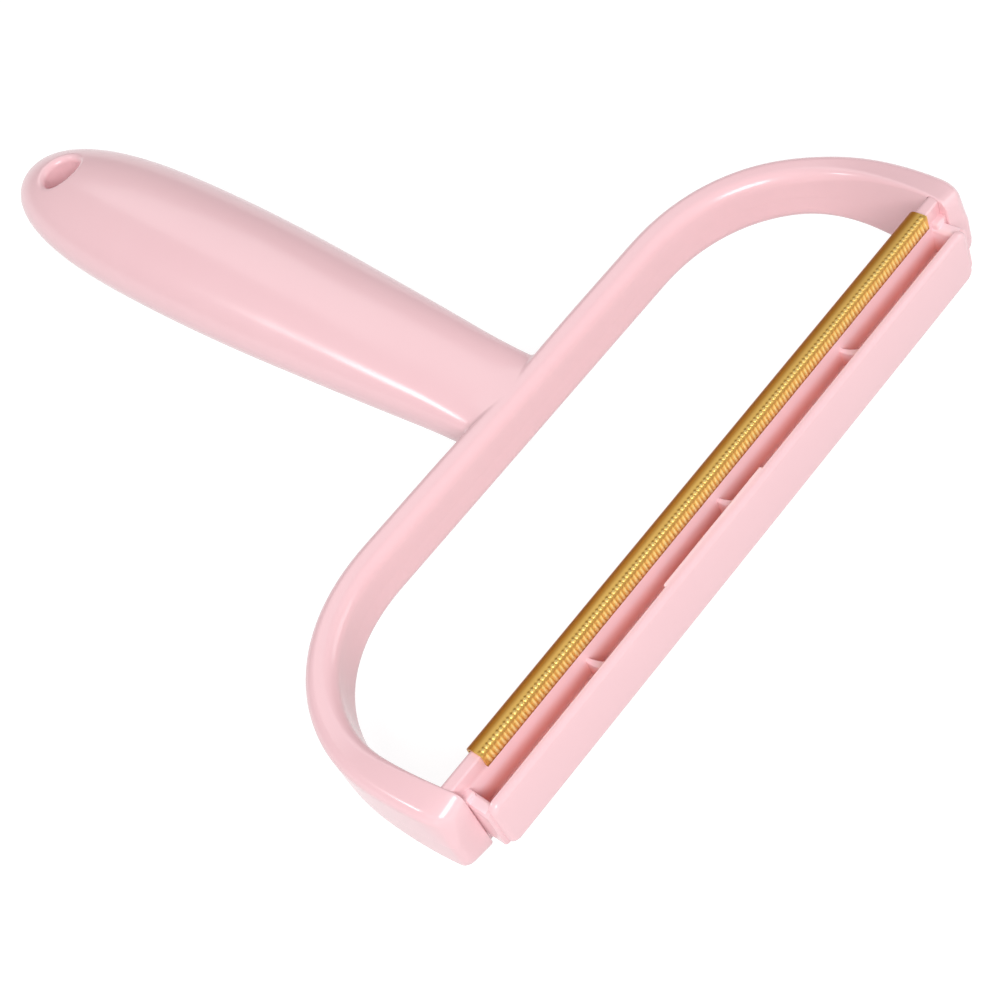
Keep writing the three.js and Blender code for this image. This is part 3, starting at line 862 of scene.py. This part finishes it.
def painted_shade_share(profile):
    """Painted shade round the profile: smooth steps up at the fold and at the feet.

    The fold's share fades again down the back bend.
    """
    down = STRIP_TOP - profile[:, 1]
    fold = smooth_step((profile[:, 0] - STRIP_FRONT - FOLD_FROM) / (FOLD_TO - FOLD_FROM))
    fade = BACK_FADE * smooth_step((down - BACK_FADE_FROM) / (BACK_BEND - BACK_FADE_FROM))
    foot = smooth_step((down - FOOT_FROM) / (STRIP_LEG - FOOT_FROM))
    return np.maximum(fold * (1 - fade), foot)


def brass_strip(name, side):
    """Sheet profile carried along x with its relief, closed by its inside and two cut ends."""
    profile, normal = sheet_profile()
    row = np.linspace(-ROW_HALF, ROW_HALF, TEETH * PER_TOOTH + 1)
    x = np.concatenate([[-STRIP_LENGTH / 2], row, [STRIP_LENGTH / 2]])
    height = relief(x, profile)
    outside = profile + normal * height[..., None]
    inside = sheet_inside()
    loop = np.concatenate([outside, np.broadcast_to(inside, (len(x), *inside.shape))], axis=1)
    grid = np.dstack([np.broadcast_to(x[:, None] + STRIP_SHIFT, loop.shape[:2]), loop])
    rows, columns = grid.shape[:2]
    faces = grid_faces(rows, columns, True).tolist()
    caps = [list(range(columns)), list(range((rows - 1) * columns, rows * columns))]
    mesh = bpy.data.meshes.new(name)
    mesh.from_pydata(place(grid * [1, 1, side]).reshape(-1, 3), [], faces + caps)
    # painted shade: the share of shade on the fold and feet, stored on the points
    painted_fold_and_foot_shade = np.broadcast_to(painted_shade_share(profile), height.shape)
    plain = np.zeros((rows, len(inside)))
    for label, values in (("relief", height), ("painted_fold_and_foot_shade", painted_fold_and_foot_shade)):
        attribute = mesh.attributes.new(label, "FLOAT", "POINT")
        column = np.column_stack([values, plain]).astype(np.float32)
        attribute.data.foreach_set("value", column.ravel())
    return finish_mesh(mesh, STRIP_CREASE)


upper_strip = add_piece("upper_brass_strip", brass_strip("upper_strip", 1))
lower_strip = add_piece("lower_brass_strip", brass_strip("lower_strip", -1))
print("faces of a strip:", len(upper_strip.data.polygons))

# %% [markdown]
# ## Finishes
# Colours are written as sRGB hex values, as a picker shows them, and turned to linear light for the
# shader. One helper adds a node, sets its properties and links its inputs.

# %% Material helpers
def linear(hex_colour):
    """sRGB hex to linear: divide by 12.92 in the toe, else a 2.4 power of the shifted value."""
    srgb = np.array([int(hex_colour[i:i + 2], 16) for i in (1, 3, 5)]) / 255
    light = np.where(srgb <= 0.04045, srgb / 12.92, ((srgb + 0.055) / 1.055) ** 2.4)
    return (*light, 1.0)


def add_node(tree, kind, inputs=None, **settings):
    """Add a node, set its properties, then set each named input or link a socket to it."""
    node = tree.nodes.new(kind)
    for name, value in settings.items():
        setattr(node, name, value)
    for name, value in (inputs or {}).items():
        if isinstance(value, bpy.types.NodeSocket):
            tree.links.new(value, node.inputs[name])
        else:
            node.inputs[name].default_value = value
    return node


def new_material(name):
    """Material with an empty node tree."""
    material = bpy.data.materials.new(name)
    material.use_nodes = True
    material.node_tree.nodes.clear()
    return material


def per_size(millimetres):
    """Texture scale at which one feature is that many millimetres wide."""
    return 1 / (millimetres * MM)


# %% [markdown]
# ### Moulded ABS
# The body is pink ABS from a polished mould: an even colour, a clear gloss and a faint waviness
# where the wall shrank as it cooled. The head's channel has painted light and shade in its colour:
# it is painted clearer at the mouth and deepens to a warmer pink towards the web, standing in for
# light that passes through its thin walls and meets pink walls many times over.

# %% Pink moulded ABS
ABS_IOR = 1.53
CHANNEL_HALF = 58.2
CHANNEL_MOUTH = 4.8
CHANNEL_FADE = 0.8
CHANNEL_DEEP_FROM = 2.8
CHANNEL_Y = (1.3, 5.7)
PIGMENT_DRIFT = 22
GLOSS_FILM = 5
SINK_WAVE = 3
SINK_DEPTH = 0.05


def channel_shade_shares(tree, at):
    """Two shares that place the channel's painted light and shade: 1 between the channel's walls,
    fading to 0 above its mouth; and the depth in it, from 0 some way below the mouth to 1 at the
    middle.
    """
    split = add_node(tree, "ShaderNodeSeparateXYZ", {"Vector": at}).outputs
    middle_y = CAD_LOW.y + sum(CHANNEL_Y) / 2 * MM
    half_y = (CHANNEL_Y[1] - CHANNEL_Y[0]) / 2 * MM
    along = add_node(tree, "ShaderNodeMath", {0: split["X"], 1: 0.0, 2: CHANNEL_HALF * MM},
                     operation="COMPARE")
    between = add_node(tree, "ShaderNodeMath", {0: split["Y"], 1: middle_y, 2: half_y},
                       operation="COMPARE")
    inside = add_node(tree, "ShaderNodeMath", {0: along.outputs[0], 1: between.outputs[0]},
                      operation="MULTIPLY")
    level = add_node(tree, "ShaderNodeMath", {0: split["Z"], 1: PARTING}, operation="SUBTRACT")
    height = add_node(tree, "ShaderNodeMath", {0: level.outputs[0]}, operation="ABSOLUTE")
    share = add_node(tree, "ShaderNodeMapRange", {
        "Value": height.outputs[0], "From Min": (CHANNEL_MOUTH + CHANNEL_FADE) * MM,
        "From Max": CHANNEL_MOUTH * MM, "To Max": inside.outputs[0],
    })
    depth = add_node(tree, "ShaderNodeMapRange", {
        "Value": height.outputs[0], "From Min": CHANNEL_DEEP_FROM * MM, "From Max": 0.0,
    })
    return share.outputs["Result"], depth.outputs["Result"]


def pink_abs():
    """Pink base that drifts slightly over centimetres, painted light and shade in the channel,
    varied gloss and a very low waviness.
    """
    material = new_material("pink_moulded_abs")
    tree = material.node_tree
    at = add_node(tree, "ShaderNodeTexCoord").outputs["Object"]
    drift = add_node(tree, "ShaderNodeTexNoise",
                     {"Vector": at, "Scale": per_size(PIGMENT_DRIFT), "Detail": 2.0})
    tint = add_node(tree, "ShaderNodeMix", {
        "Factor": drift.outputs["Fac"], 6: linear("#F6CCD1"), 7: linear("#F4C7CD"),
    }, data_type="RGBA")
    share, depth = channel_shade_shares(tree, at)
    # painted light and shade: the channel is painted lighter at its mouth and a deeper, warmer pink
    # towards the web
    channel = add_node(tree, "ShaderNodeMix", {
        "Factor": depth, 6: linear("#FDDBE1"), 7: linear("#FFBEB6"),
    }, data_type="RGBA")
    pigment_and_painted_shade = add_node(tree, "ShaderNodeMix", {
        "Factor": share, 6: tint.outputs[2], 7: channel.outputs[2],
    }, data_type="RGBA")
    film = add_node(tree, "ShaderNodeTexNoise",
                    {"Vector": at, "Scale": per_size(GLOSS_FILM), "Detail": 3.0})
    gloss = add_node(tree, "ShaderNodeMapRange", {
        "Value": film.outputs["Fac"], "To Min": 0.16, "To Max": 0.24,
    })
    wave = add_node(tree, "ShaderNodeTexNoise",
                    {"Vector": at, "Scale": per_size(SINK_WAVE), "Detail": 1.0})
    skin = add_node(tree, "ShaderNodeBump", {
        "Strength": 0.12, "Distance": SINK_DEPTH * MM, "Height": wave.outputs["Fac"],
    })
    shader = add_node(tree, "ShaderNodeBsdfPrincipled", {
        "Base Color": pigment_and_painted_shade.outputs[2], "Roughness": gloss.outputs["Result"],
        "IOR": ABS_IOR, "Normal": skin.outputs["Normal"],
    })
    add_node(tree, "ShaderNodeOutputMaterial", {"Surface": shader.outputs["BSDF"]})
    return material


# %% [markdown]
# ### Pressed brass
# The strips are rolled brass sheet with teeth pressed into it. Rolling leaves fine lines along the
# strip. The crests are painted bright and the pits brown: partly wear that rubs the crests and
# patina in the pits, partly painted highlight on the crests and painted shade in the pits. The fold
# behind and the feet get painted shade.

# %% Rolled brass with pressed teeth
GLINT_AND_WEAR_FROM = -0.12
GLINT_AND_WEAR_TO = 0.3
PLAIN_SHEET = 0.28
ROLL_LINE = 0.35
ROLL_STRETCH = 0.03


def pressed_brass():
    """Brass painted bright on the crests and brown in the pits, partly wear and patina and partly
    painted highlight and shade, with painted shade on the fold and feet, and rolled lines.
    """
    material = new_material("rolled_brass_sheet")
    tree = material.node_tree
    at = add_node(tree, "ShaderNodeTexCoord").outputs["Object"]
    height = add_node(tree, "ShaderNodeAttribute", attribute_name="relief")
    # painted highlight and shade, partly wear and patina: the relief height paints the crests
    # bright and the pits brown
    wear_and_painted_glint = add_node(tree, "ShaderNodeMapRange", {
        "Value": height.outputs["Fac"], "From Min": GLINT_AND_WEAR_FROM, "From Max": GLINT_AND_WEAR_TO,
    })
    tone = add_node(tree, "ShaderNodeValToRGB", {"Fac": wear_and_painted_glint.outputs["Result"]})
    ramp = tone.color_ramp
    ramp.elements[0].color = linear("#966424")
    ramp.elements[1].color = linear("#FFEA9E")
    middle = ramp.elements.new(PLAIN_SHEET)
    middle.color = linear("#F0C368")
    # painted shade: the fold and feet are mixed towards dark brown by the stored share
    painted_shade_input = add_node(tree, "ShaderNodeAttribute", attribute_name="painted_fold_and_foot_shade")
    colour = add_node(tree, "ShaderNodeMix", {
        "Factor": painted_shade_input.outputs["Fac"], 6: tone.outputs["Color"], 7: linear("#AE6C16"),
    }, data_type="RGBA")
    stretched = add_node(tree, "ShaderNodeMapping",
                         {"Vector": at, "Scale": (ROLL_STRETCH, 1.0, 1.0)})
    lines = add_node(tree, "ShaderNodeTexNoise", {
        "Vector": stretched.outputs["Vector"], "Scale": per_size(ROLL_LINE), "Detail": 2.0,
    })
    rough = add_node(tree, "ShaderNodeMapRange", {
        "Value": lines.outputs["Fac"], "To Min": 0.34, "To Max": 0.5,
    })
    shader = add_node(tree, "ShaderNodeBsdfPrincipled", {
        "Base Color": colour.outputs[2], "Metallic": 0.75, "Roughness": rough.outputs["Result"],
    })
    add_node(tree, "ShaderNodeOutputMaterial", {"Surface": shader.outputs["BSDF"]})
    return material


# %% [markdown]
# Each piece gets its finish, stands for the CAD node in its place and rides on the only body.

# %% Dress the pieces
abs_finish = pink_abs()
brass_finish = pressed_brass()
for piece, finish, slot, node in (
    (upper_shell, abs_finish, "pink_abs", "upper_shell"),
    (lower_shell, abs_finish, "pink_abs", "lower_shell"),
    (head_bar, abs_finish, "pink_abs", "head_bar"),
    (upper_strip, brass_finish, "brass", "upper_scraper_strip"),
    (lower_strip, brass_finish, "brass", "lower_scraper_strip"),
):
    piece.data.materials.clear()
    piece.data.materials.append(finish)
    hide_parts(node)
    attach(piece, "root")
    print(piece.name, "wears", finish.name)

# %% [markdown]
# ## Floor, light and camera
# The tool lies on a pale studio floor, which rises far off so that no horizon shows, in a light
# tent that is brighter in front than behind. One large softbox lights its front, a weaker one fills
# the shaded side, one behind shows in the brass, and a small one draws the bright line along the
# handle.

# %% Floor
FLOOR_HALF = 3.0
COVE_HALF = 30.0
COVE_RISE = 2.0
FLOOR_GLOW = 0.88


def studio_floor():
    """White floor: where it is seen most of its light is its own, so that shadows stay faint."""
    material = new_material("white_studio_floor")
    tree = material.node_tree
    rays = add_node(tree, "ShaderNodeLightPath").outputs
    seen = rays["Is Camera Ray"]
    for kind in ("Is Glossy Ray", "Is Transmission Ray"):
        seen = add_node(tree, "ShaderNodeMath", {0: seen, 1: rays[kind]},
                        operation="MAXIMUM").outputs[0]
    glow = add_node(tree, "ShaderNodeMath", {0: seen, 1: FLOOR_GLOW}, operation="MULTIPLY")
    own = add_node(tree, "ShaderNodeEmission", {"Strength": glow.outputs[0]})
    paint = add_node(tree, "ShaderNodeMix", {
        "Factor": seen, 6: linear("#C4C4C4"), 7: linear("#858585"),
    }, data_type="RGBA")
    lit = add_node(tree, "ShaderNodeBsdfDiffuse", {"Color": paint.outputs[2]})
    both = add_node(tree, "ShaderNodeAddShader")
    tree.links.new(own.outputs[0], both.inputs[0])
    tree.links.new(lit.outputs[0], both.inputs[1])
    add_node(tree, "ShaderNodeOutputMaterial", {"Surface": both.outputs[0]})
    return material


floor_lines = np.array([-COVE_HALF, -FLOOR_HALF, FLOOR_HALF, COVE_HALF])
floor_x, floor_y = np.meshgrid(floor_lines, floor_lines)
floor_z = np.where(np.maximum(abs(floor_x), abs(floor_y)) > FLOOR_HALF, COVE_RISE, 0.0)
floor_mesh = bpy.data.meshes.new("floor")
floor_mesh.from_pydata(
    np.dstack([floor_x, floor_y, floor_z]).reshape(-1, 3), [], grid_faces(4, 4, False)
)
floor_mesh.materials.append(studio_floor())
floor = add_piece("floor", floor_mesh)
print("floor reaches", COVE_HALF, "m and rises", COVE_RISE, "m at its edge")

# %% World and lamps
TENT_FRONT = (-0.6, -0.73, 0.33)
TENT_DIM = 0.26
TENT_BRIGHT = 0.44
world = bpy.data.worlds.new("studio")
bpy.context.scene.world = world
world.use_nodes = True
world.node_tree.nodes.clear()
way = add_node(world.node_tree, "ShaderNodeVectorMath", {
    0: add_node(world.node_tree, "ShaderNodeTexCoord").outputs["Generated"], 1: TENT_FRONT,
}, operation="DOT_PRODUCT")
level = add_node(world.node_tree, "ShaderNodeMapRange", {
    "Value": way.outputs["Value"], "From Min": -1.0, "From Max": 1.0,
    "To Min": TENT_DIM, "To Max": TENT_BRIGHT,
})
sky = add_node(world.node_tree, "ShaderNodeBackground", {
    "Color": (1, 1, 1, 1), "Strength": level.outputs["Result"],
})
add_node(world.node_tree, "ShaderNodeOutputWorld", {"Surface": sky.outputs["Background"]})


def softbox(name, position, size, power):
    """Square lamp that faces the tool's middle."""
    lamp = bpy.data.lights.new(name, "AREA")
    lamp.size = size
    lamp.energy = power
    holder = bpy.data.objects.new(name, lamp)
    holder.matrix_world = Matrix.Translation(position) @ (
        Vector(position) - Vector((0, 0, PARTING))
    ).to_track_quat("Z", "Y").to_matrix().to_4x4()
    bpy.context.scene.collection.objects.link(holder)


softbox("front_softbox", (-0.55, -0.78, 0.76), 0.6, 10.0)
softbox("side_softbox", (0.8, -0.6, 0.35), 0.6, 2.6)
softbox("back_softbox", (0.36, 0.78, 0.83), 0.6, 1.4)
softbox("line_softbox", (-0.62, 0.56, 0.74), 0.2, 1.7)

print("lamps:", [lamp.name for lamp in bpy.data.lights])

# %% [markdown]
# The camera stands where the photograph's outlines put it: a place, its right and up directions,
# and a focal length in pixels of the picture.

# %% Camera at the photograph's angle
CAMERA_AT = (-0.10447, -0.22828, 0.23630)
CAMERA_RIGHT = np.array([0.62386, -0.71743, -0.30999])
CAMERA_UP = np.array([0.72299, 0.37916, 0.57751])
FOCAL_PIXELS = 1948.2
PICTURE_PIXELS = 1002
SENSOR = 36.0
NEAREST = 0.01

lens = bpy.data.cameras.new("camera")
lens.sensor_width = SENSOR
lens.lens = FOCAL_PIXELS / PICTURE_PIXELS * SENSOR
lens.clip_start = NEAREST
camera = bpy.data.objects.new("camera", lens)
backward = np.cross(CAMERA_RIGHT, CAMERA_UP)
turned = np.eye(4)
turned[:3, :3] = np.column_stack([CAMERA_RIGHT, CAMERA_UP, backward])
turned[:3, 3] = CAMERA_AT
camera.matrix_world = Matrix(turned.tolist())
bpy.context.scene.collection.objects.link(camera)
bpy.context.scene.camera = camera
bpy.context.scene.view_settings.view_transform = "Standard"
print("focal length in mm:", round(lens.lens, 1))
